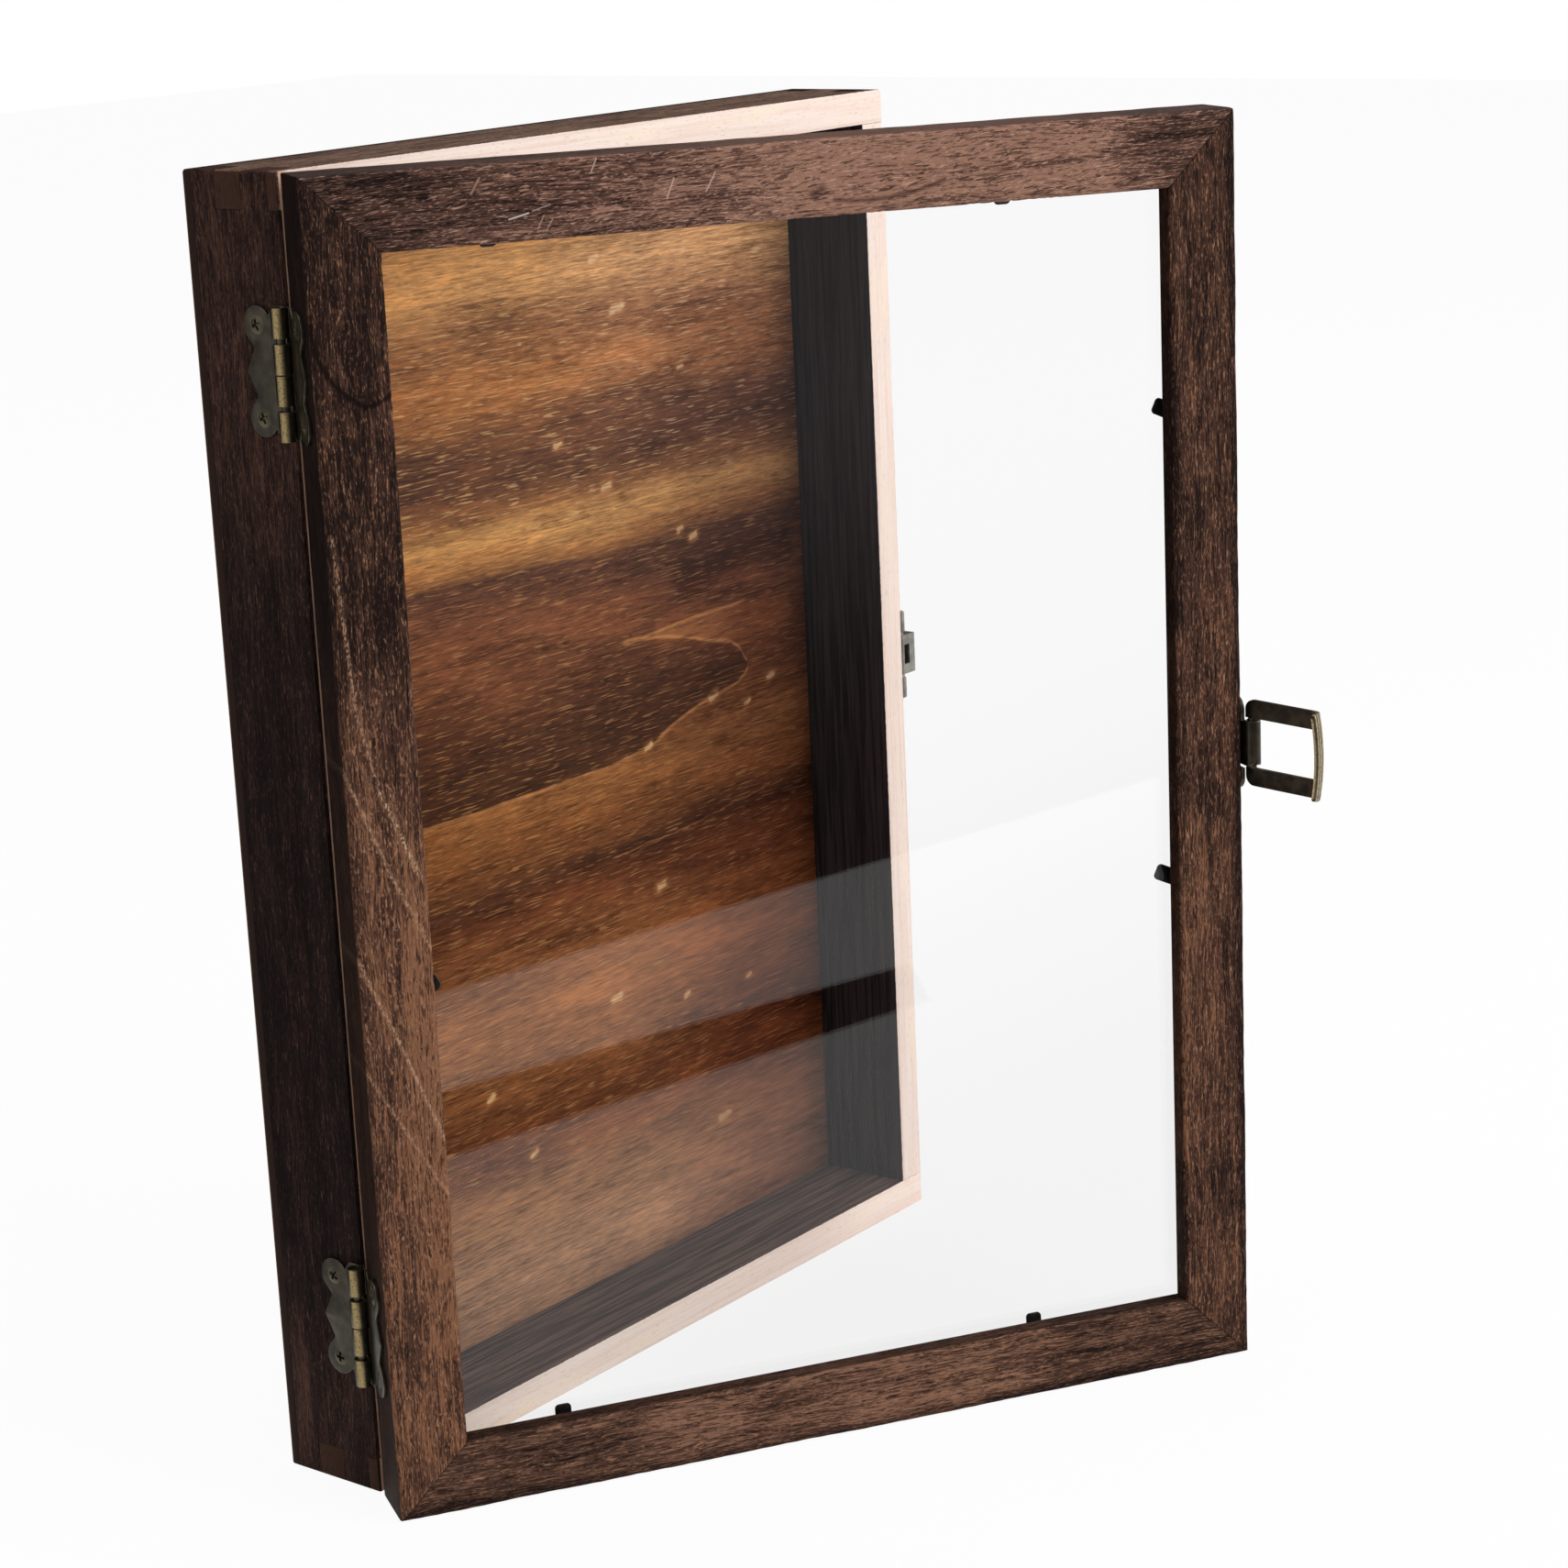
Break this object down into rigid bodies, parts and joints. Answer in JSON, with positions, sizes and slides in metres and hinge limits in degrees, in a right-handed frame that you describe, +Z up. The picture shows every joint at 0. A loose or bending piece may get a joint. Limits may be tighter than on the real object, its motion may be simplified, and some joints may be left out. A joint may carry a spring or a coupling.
{
  "type": "wall display case with hinged glass door",
  "caption": "Shallow dark wooden display case with finger-jointed boards, a mitred glazed door on butterfly hinges and a swinging ring latch, shown with its door open",
  "frame": {"origin": "centre of the underside of the case, in the middle of its width and depth", "axes": "+X to the right seen from the front, +Y to the back, +Z up; the door is on the -Y side"},
  "size_m": [0.231, 0.1805, 0.305],
  "materials": {
    "dark_wood": "stained and waxed dark brown wood",
    "panel_wood": "veneered panel, golden brown inside",
    "bronze": "antique bronze plated steel",
    "black_steel": "blackened spring steel",
    "clear_glass": "clear float glass"
  },
  "bodies": {
    "case": {"case_top_board": "dark_wood", "case_bottom_board": "dark_wood", "case_left_board": "dark_wood", "case_right_board": "dark_wood", "back_panel": "panel_wood", "latch_catch": "bronze", "latch_catch_screws": "bronze", "upper_hinge_case_leaf": "bronze", "upper_hinge_pin": "bronze", "upper_hinge_case_screws": "bronze", "lower_hinge_case_leaf": "bronze", "lower_hinge_pin": "bronze", "lower_hinge_case_screws": "bronze"},
    "door": {"door_top_rail": "dark_wood", "door_bottom_rail": "dark_wood", "door_left_stile": "dark_wood", "door_right_stile": "dark_wood", "glass_pane": "clear_glass", "glazing_tabs": "black_steel", "latch_plate": "bronze", "latch_plate_screws": "bronze", "upper_hinge_door_leaf": "bronze", "upper_hinge_door_screws": "bronze", "lower_hinge_door_leaf": "bronze", "lower_hinge_door_screws": "bronze"},
    "latch_ring": {"latch_ring": "bronze"}
  },
  "joints": [
    {"name": "door_hinge", "type": "hinge", "parent": "case", "child": "door", "pos_m": [-0.1108, -0.0147, 0.1525], "axis": [0, 0, -1], "range_deg": [-31.9, 148.1]},
    {"name": "latch_ring_hinge", "type": "hinge", "parent": "door", "child": "latch_ring", "pos_m": [0.06987, -0.1453, 0.1558], "axis": [0, 0, 1], "range_deg": [-67, 158]}
  ]
}
